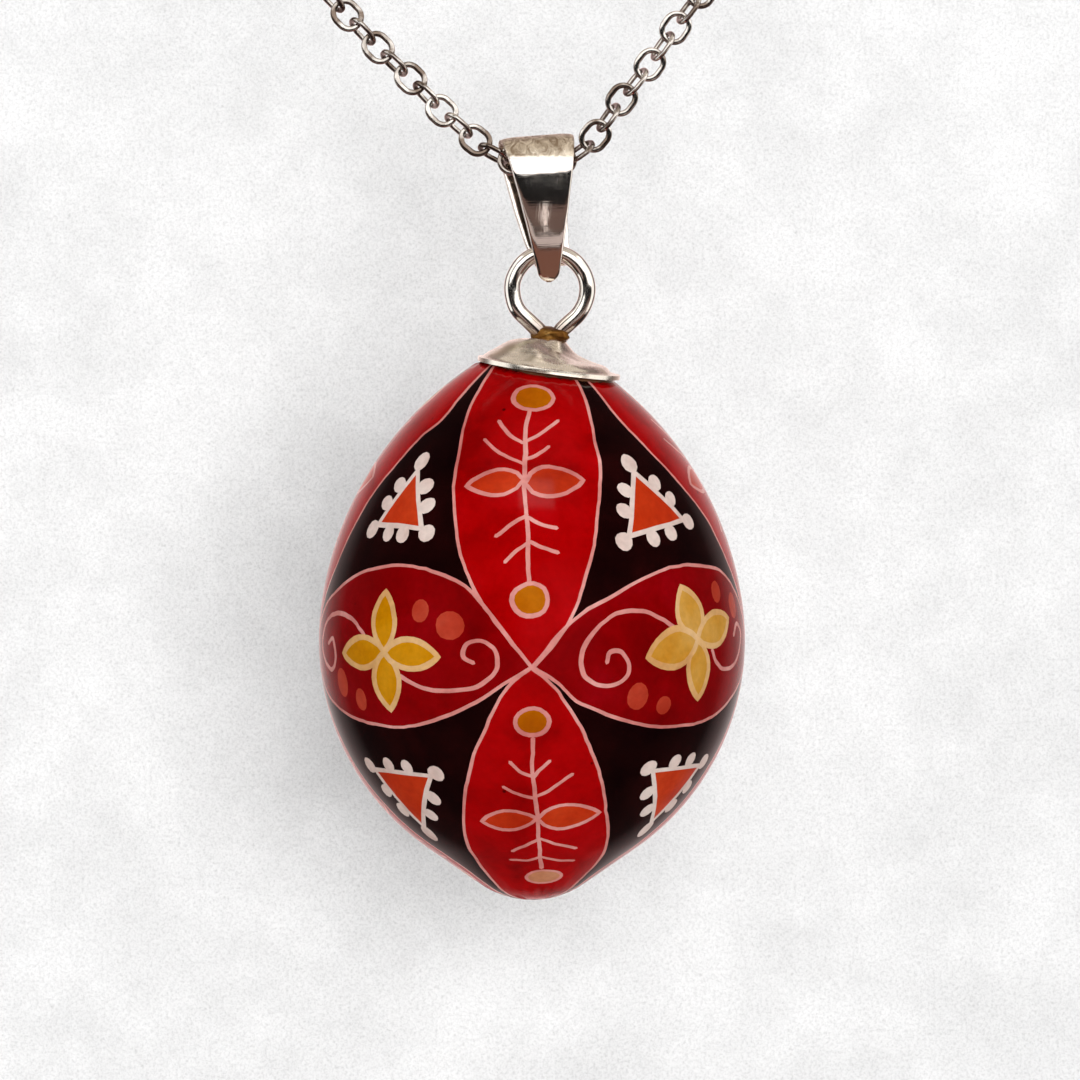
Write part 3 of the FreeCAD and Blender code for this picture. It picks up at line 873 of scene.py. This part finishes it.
def loop_path():
    """The wire's middle, up one leg, round the loop and down the other leg, with a slight waver."""
    opens, bend, leg = math.radians(42), 0.75, 0.52
    leave = Vector((LOOP_R * math.sin(opens), 0, -LOOP_R * math.cos(opens)))
    heading = Vector((-math.cos(opens), 0, -math.sin(opens)))
    corner = leave + heading * ((leave.x - leg) / math.cos(opens))
    turn = math.pi / 2 - opens
    cut = bend * math.tan(turn / 2)
    start, end = corner - heading * cut, corner - Vector((0, 0, cut))
    middle = Vector((end.x + bend, 0, end.z))
    half = [leave.lerp(start, t) for t in (0, 0.33, 0.67)]
    for k in range(9):
        a = math.pi - turn * (1 - k / 8)
        half.append(middle + Vector((bend * math.cos(a), 0, bend * math.sin(a))))
    half += [end + Vector((0, 0, -d)) for d in (0.4, 0.8, 1.3, 1.9)]
    ring = []
    for k in range(1, 90):
        a = -math.pi / 2 - opens - (2 * math.pi - 2 * opens) * k / 90
        ring.append(Vector((LOOP_R * math.cos(a), 0, LOOP_R * math.sin(a))))
    path = []
    for p in [Vector((-p.x, 0, p.z)) for p in half[::-1]] + ring + half:
        p = p + Vector((LOOP_X, 0, LOOP_Z))
        v = noise.noise_vector(p * 0.8)
        path.append(p + Vector((v.x * 0.045, 0, v.z * 0.045)))
    return path


def loop_mesh():
    path, around = loop_path(), 28
    depth = Vector((0, 1, 0))
    verts = []
    for i, p in enumerate(path):
        t = (path[min(i + 1, len(path) - 1)] - path[max(i - 1, 0)]).normalized()
        side = t.cross(depth).normalized()
        r = WIRE_R * (0.985 + 0.03 * noise.noise(p * 1.3))
        verts += [p + side * (r * math.cos(a)) + depth * (r * math.sin(a)) for a in angles(around)]
    obj = smooth_object("loop_wire", verts, tube_faces(len(path), around), SILVER_LOOP)
    dress(obj, "pendant", "hanging_loop")


def solder_bead(name, centre, size, body, node, seed, spread):
    """A lump of solder that wetted what it touches: an uneven bead, wider below by its spread."""
    verts, rings, around = [], 22, 32
    for i in range(1, rings):
        v = math.pi * i / rings
        for a in angles(around):
            d = Vector((math.sin(v) * math.cos(a), math.sin(v) * math.sin(a), -math.cos(v)))
            wide = 1 + spread * max(0.0, -d.z)
            r = 1 + 0.16 * noise.noise(d * 1.6 + Vector((seed, 2, 4)))
            r += 0.048 * noise.noise(d * 5 + Vector((1, seed, 6)))
            verts.append(centre + Vector((d.x * size[0] * r * wide, d.y * size[1] * r * wide,
                                          d.z * size[2] * r)))
    dress(smooth_object(name, verts, tube_faces(rings - 1, around), SOLDER), body, node)


# ---------------------------------------------------------------- bail

BAIL_X, BAIL_Z = 0.42, 44.0
BAIL_TURN = Matrix.Rotation(math.radians(-4.7), 4, "Y") @ Matrix.Rotation(math.radians(7.0), 4, "Z")
STRIP_T = 0.36


def in_bail(point):
    """From the bail's own frame, with its origin on the fold's axis, to the bench."""
    return BAIL_TURN @ Vector(point) + Vector((BAIL_X, 0, BAIL_Z))


def bail_line():
    """The strip's middle from the side, in the bail's own frame, from front tip to back tip."""
    fold = 1.46 + STRIP_T / 2
    low, deep = -0.5, 1.67
    front = [(-0.28, -6.86), (-0.56, -6.20), (-0.84, -5.55), (-1.06, -4.95), (-1.24, -4.3), (-1.40, -3.5),
             (-1.54, -2.6), (-1.64, -1.6)]
    line = spline(front + [(-deep, low)], 6)
    for k in range(1, 22):
        a = math.pi / 2 * k / 21
        line.append(np.array((-deep * math.cos(a), low + (fold - low) * math.sin(a))))
    for k in range(1, 16):
        a = math.pi / 2 * (1 - k / 16)
        line.append(np.array((fold * math.cos(a), fold * math.sin(a))))
    back = [(fold * math.cos(0.09), -0.15), (1.5, -1.2), (1.28, -2.9), (1.05, -4.4), (0.82, -6.0)]
    return line + spline(back, 6)


# The back leg's half-width and how far its middle leans, at heights below the fold.
BACK_AT = (-1.6, 1.0, 2.8, 4.7, 6.1)
BACK_HALF_WIDTH = (2.26, 1.88, 1.58, 1.30, 1.15)
BACK_SHIFT = (0, 0.02, 0.06, 0.22, 0.58)


def bail_mesh():
    """The strip with a slightly domed outer face, its edges rounded and each tip cut to a curve."""
    line = bail_line()
    top = int(np.argmax([p[1] for p in line]))
    verts, around = [], 28
    for i, (y, z) in enumerate(line):
        before, after = line[max(0, i - 1)], line[min(len(line) - 1, i + 1)]
        t = Vector((0, after[0] - before[0], after[1] - before[1])).normalized()
        out = Vector((1, 0, 0)).cross(t).normalized()
        if i <= top:
            foot_z, tip_r, dome, mid = -6.88, 0.55, 0.09, 0.0
            w = 2.26 + (0.56 - 2.26) * min(1.0, max(0.0, (2.0 - z) / (2.0 - foot_z)))
        else:
            foot_z, tip_r, dome = -6.12, 0.28, 0.03
            w, mid = (float(np.interp(-z, BACK_AT, column)) for column in (BACK_HALF_WIDTH, BACK_SHIFT))
        gap = z - foot_z
        if gap < tip_r:
            w = max(0.05, w - tip_r + math.sqrt(max(0.0, tip_r ** 2 - (tip_r - gap) ** 2)))
        w *= 1 + 0.012 * noise.noise((i * 0.13, 3.1, 0))
        for j in range(around):
            a = 2 * math.pi * (j + 0.5) / around
            c, s = math.cos(a), math.sin(a)
            u = w * math.copysign(min(1.0, abs(c)) ** 0.2, c)
            thick = STRIP_T / 2 * math.copysign(abs(s) ** 0.5, s) + dome * (1 - (u / max(w, 0.01)) ** 2)
            verts.append(in_bail(Vector((mid + u, y, z)) + out * thick))
    obj = smooth_object("folded_bail", verts, tube_faces(len(line), around), SILVER)
    dress(obj, "bail", "bail")


# ---------------------------------------------------------------- chain

ODD_ROLL, EVEN_ROLL = 4.0, -68.0


def link_mesh(name, centre, along, normal):
    """A flattened oval link: wire rolled to a rounded strip, its closing seam on one side."""
    across = normal.cross(along).normalized()
    end_r, half = 0.71, 0.18
    path = []
    for a in angles(60):
        path.append(Vector((math.copysign(half, math.cos(a)) + end_r * math.cos(a), end_r * math.sin(a), 0)))
    verts, around = [], 16
    for i, p in enumerate(path):
        t = (path[(i + 1) % 60] - path[i - 1]).normalized()
        out = Vector((t.y, -t.x, 0))
        thin = 0.975 + 0.035 * noise.noise((centre + p) * 1.4)
        seam = 1 + 0.06 * math.exp(-((i - 15) / 1.4) ** 2)
        wide = (0.165 + 0.022 * abs(p.y) / 0.7) * thin * seam
        for a in angles(around):
            c, s = math.cos(a), math.sin(a)
            q = p + out * (wide * math.copysign(abs(c) ** 0.75, c))
            q.z = 0.132 * thin * math.copysign(abs(s) ** 0.55, s)
            verts.append(centre + along * q.x + across * q.y + normal * q.z)
    obj = smooth_object("silver_" + name, verts, tube_faces(60, around, closed_loop=True), SILVER_CHAIN)
    dress(obj, name, name)


def end_ring_mesh(name, centre, along):
    """The round ring at the end of an arm, in the plane of the chain's line and Y."""
    depth = Vector((0, 1, 0))
    normal = along.cross(depth)
    verts = []
    for a in angles(72):
        out = along * math.cos(a) + depth * math.sin(a)
        r = 0.228 * (1 + 0.02 * noise.noise((centre + out) * 1.5))
        verts += [centre + out * (1.28 + r * math.cos(b)) + normal * (r * math.sin(b)) for b in angles(18)]
    obj = smooth_object("silver_" + name, verts, tube_faces(72, 18, closed_loop=True), SILVER_CHAIN)
    dress(obj, "end_rings", name)


def chain():
    """Each link is where its twist joint is, and each end ring where its mount is."""
    for joint in frame["joints"]:
        name = joint["child"]
        if joint["name"].endswith("_twist"):
            along = Vector(joint["axis"]).normalized()
            number = 0 if name == "link_centre" else int(name[-2:])
            roll = math.radians(ODD_ROLL if number % 2 else EVEN_ROLL)
            normal = Matrix.Rotation(roll, 3, along) @ Vector((0, -1, 0))
            link_mesh(name, bench(joint["pos_m"]), along, normal)
    for mount in frame["record"]["mounts"]:
        if mount["name"].startswith("end_ring"):
            end_ring_mesh(mount["name"], bench(mount["pos_m"]), Vector(mount["axis"]).normalized())


cap_mesh()
loop_mesh()
solder_bead("neck_bead", Vector((LOOP_X, 0, 33.92)), (1.12, 0.84, 0.52), "pendant", "neck_solder", 3.0, 0.35)
bail_mesh()
solder_bead("tip_bead", in_bail((0.05, 0.22, -6.3)), (0.42, 0.5, 0.42), "bail", "bail_tip_solder", 8.0, 0.0)
chain()
glue_mesh()
fill_mesh()


# ---------------------------------------------------------------- stage, light and camera

SILVER_PARTS, CAP_PARTS, PENDANT_PARTS, WALL_PARTS = (
    bpy.data.collections.new(name) for name in ("silver_parts", "cap_parts", "pendant_parts", "wall_parts"))
for piece in [o for o in bpy.context.scene.objects if o.type == "MESH"]:
    PENDANT_PARTS.objects.link(piece)
    if any(s.material and s.material.name.startswith(("silver", "solder")) for s in piece.material_slots):
        SILVER_PARTS.objects.link(piece)
        if "cap" in piece.name:
            CAP_PARTS.objects.link(piece)


def plaster():
    """Pale, finely grained plaster, clear when seen from behind."""
    m = Nodes("pale_wall")
    broad = m.ramp(m.noise(98, 6, 0.75), (0.34, linear(224, 224, 224)), (0.62, linear(238, 238, 238)))
    grain = m.ramp(m.noise(4700, 5, 0.85, 0.4), (0.30, linear(206, 206, 206)), (0.54, linear(255, 255, 255)))
    m.set(Base_Color=m.mix(0.8, broad, grain, "MULTIPLY"), Roughness=0.9, Specular_IOR_Level=0.1)
    m.bump((m.noise(600, 4, 0.7), 0.00008))
    m.show_by_side(m.shader, m.tree.nodes.new("ShaderNodeBsdfTransparent"))
    return m.material


def sweep_stage():
    """A floor below the pendant that curves up into a wall, as far back as the egg can swing."""
    wall_y, floor_z, bend = 50.0, -40.0, 14.0
    section = [(-900, floor_z), (-300, floor_z), (wall_y - bend, floor_z)]
    for k in range(1, 13):
        a = math.pi / 2 * k / 12
        section.append((wall_y - bend + bend * math.sin(a), floor_z + bend - bend * math.cos(a)))
    section += [(wall_y, 100), (wall_y, 700)]
    verts = [(x, y, z) for y, z in section for x in (-900, 900)]
    faces = [(2 * i, 2 * i + 1, 2 * i + 3, 2 * i + 2) for i in range(len(section) - 1)]
    obj = smooth_object("stage_sweep", verts, faces, plaster())
    obj.visible_glossy = False
    WALL_PARTS.objects.link(obj)


def stage_dome():
    """A pale round shell that glows inward, which a turned camera sees past the wall and the floor.
    It's clear from outside, and neither lights, shades nor mirrors in anything."""
    m = Nodes("pale_dome")
    glow = m.tree.nodes.new("ShaderNodeEmission")
    glow.inputs["Color"].default_value = (0.62, 0.62, 0.63, 1)
    m.show_by_side(m.tree.nodes.new("ShaderNodeBsdfTransparent"), glow)
    radius, rings, around = 250, 24, 48
    verts = []
    for i in range(rings + 1):
        a = math.pi * i / rings
        for b in angles(around):
            at = (math.sin(a) * math.cos(b), math.sin(a) * math.sin(b), -math.cos(a))
            verts.append([radius * v for v in at])
    obj = smooth_object("stage_dome", verts, tube_faces(rings + 1, around, closed_ends=False), m.material)
    obj.visible_diffuse = obj.visible_glossy = obj.visible_transmission = False
    obj.visible_volume_scatter = obj.visible_shadow = False


def area_light(name, place, size, power, aim=(0, 0, 20), colour=(1, 1, 1), glossy=True, parts=None):
    data = bpy.data.lights.new(name, "AREA")
    data.shape, data.size, data.size_y = "RECTANGLE", size[0] / 1000, size[1] / 1000
    data.energy, data.color = power, colour
    obj = add_object(name, data)
    obj.location = row(place)
    obj.visible_glossy = glossy
    if parts:
        obj.light_linking.receiver_collection = parts
    obj.rotation_euler = (row(aim) - obj.location).to_track_quat("-Z", "Y").to_euler()
    return obj


def silver_card(name, azimuth, elevation, wide, tall, level, colour, parts=SILVER_PARTS):
    """A card that only the silver mirrors, placed by the angles it takes up as seen from the bail."""
    a, e, reach = math.radians(azimuth), math.radians(elevation), 300 - tall / 10
    place = (reach * math.sin(a) * math.cos(e), -reach * math.cos(a) * math.cos(e), 40 + reach * math.sin(e))
    size = [2 * reach * math.tan(math.radians(v / 2)) for v in (wide, tall)]
    power = level * math.pi * size[0] * size[1] * 1e-6
    area_light(name, place, size, power, (0, 0, 40), colour, parts=parts).visible_camera = False


def surroundings():
    """A world that is dark in front, where the camera is, and pale and pinkish behind the wall."""
    world = bpy.data.worlds.new("studio")
    bpy.context.scene.world = world
    world.use_nodes = True
    tree = world.node_tree
    coords = tree.nodes.new("ShaderNodeTexCoord")
    split = tree.nodes.new("ShaderNodeSeparateXYZ")
    ramp = tree.nodes.new("ShaderNodeValToRGB")
    half = tree.nodes.new("ShaderNodeMath")
    half.operation = "MULTIPLY_ADD"
    half.inputs[1].default_value, half.inputs[2].default_value = 0.5, 0.5
    stops = ((0.0, (0.012, 0.012, 0.012)), (0.5, (0.03, 0.028, 0.028)), (0.78, (0.10, 0.07, 0.068)),
             (0.90, (0.78, 0.58, 0.56)), (1.0, (1.7, 1.42, 1.38)))
    while len(ramp.color_ramp.elements) < len(stops):
        ramp.color_ramp.elements.new(0.5)
    for element, (at, v) in zip(ramp.color_ramp.elements, stops):
        element.position, element.color = at, v + (1,)
    tree.links.new(coords.outputs["Generated"], split.inputs[0])
    tree.links.new(split.outputs["Y"], half.inputs[0])
    tree.links.new(half.outputs[0], ramp.inputs["Fac"])
    tree.links.new(ramp.outputs["Color"], tree.nodes["Background"].inputs["Color"])
    tree.nodes["Background"].inputs["Strength"].default_value = 0.8


sweep_stage()
stage_dome()
surroundings()
area_light("key_softbox", (125, -460, 110), (380, 340), 1.5, glossy=False, parts=PENDANT_PARTS)
# The wall is lit from nearer the camera's line, so that the pendant's shadow falls close to it.
area_light("wall_softbox", (46, -460, 56), (142, 128), 1.76, glossy=False, parts=WALL_PARTS)
area_light("fill_panel", (-330, -300, 60), (300, 360), 0.36, glossy=False)
area_light("top_panel", (0, -150, 420), (400, 260), 0.9, glossy=False)
area_light("glow_panel", (20, -290, 430), (160, 90), 0.05)
# What the silver mirrors: a window above the level of the eye, dark at the eye, then a brown table,
# pale cloth and a red-brown edge below it, and tall white panels to the sides.
silver_card("mirrored_window", 12, 25, 110, 40, 2.0, (1.0, 0.99, 0.97))
silver_card("mirrored_ceiling", 0, 88, 100, 70, 0.72, (1.0, 0.90, 0.78))
silver_card("mirrored_table", 14, -16, 100, 9, 0.16, (1.0, 0.62, 0.52))
silver_card("mirrored_gap", 15, -15.5, 2.5, 10, 1.1, (1.0, 0.92, 0.88))
silver_card("mirrored_cloth", 14, -27, 110, 9, 0.62, (1.0, 0.84, 0.80))
silver_card("mirrored_edge", 14, -44, 110, 20, 0.20, (1.0, 0.42, 0.28))
silver_card("cap_shine", 28, -22, 50, 30, 1.6, (1.0, 0.97, 0.92), CAP_PARTS)
silver_card("mirrored_left", -85, 10, 44, 80, 1.3, (1.0, 1.0, 1.0))
silver_card("mirrored_right", 85, 10, 44, 80, 1.3, (1.0, 0.98, 0.95))

camera_data = bpy.data.cameras.new("camera")
camera_data.lens, camera_data.sensor_width = 194.4, 36.0
camera_data.clip_start, camera_data.clip_end = 0.01, 10.0
camera = add_object("camera", camera_data)
TILT = math.radians(2.0)
aim = row((0.48, 0, 21.63))
camera.location = aim + Vector((0, -math.cos(TILT), math.sin(TILT))) * 0.35
camera.rotation_euler = (aim - camera.location).to_track_quat("-Z", "Y").to_euler()
bpy.context.scene.camera = camera
bpy.context.scene.view_settings.view_transform = "Standard"
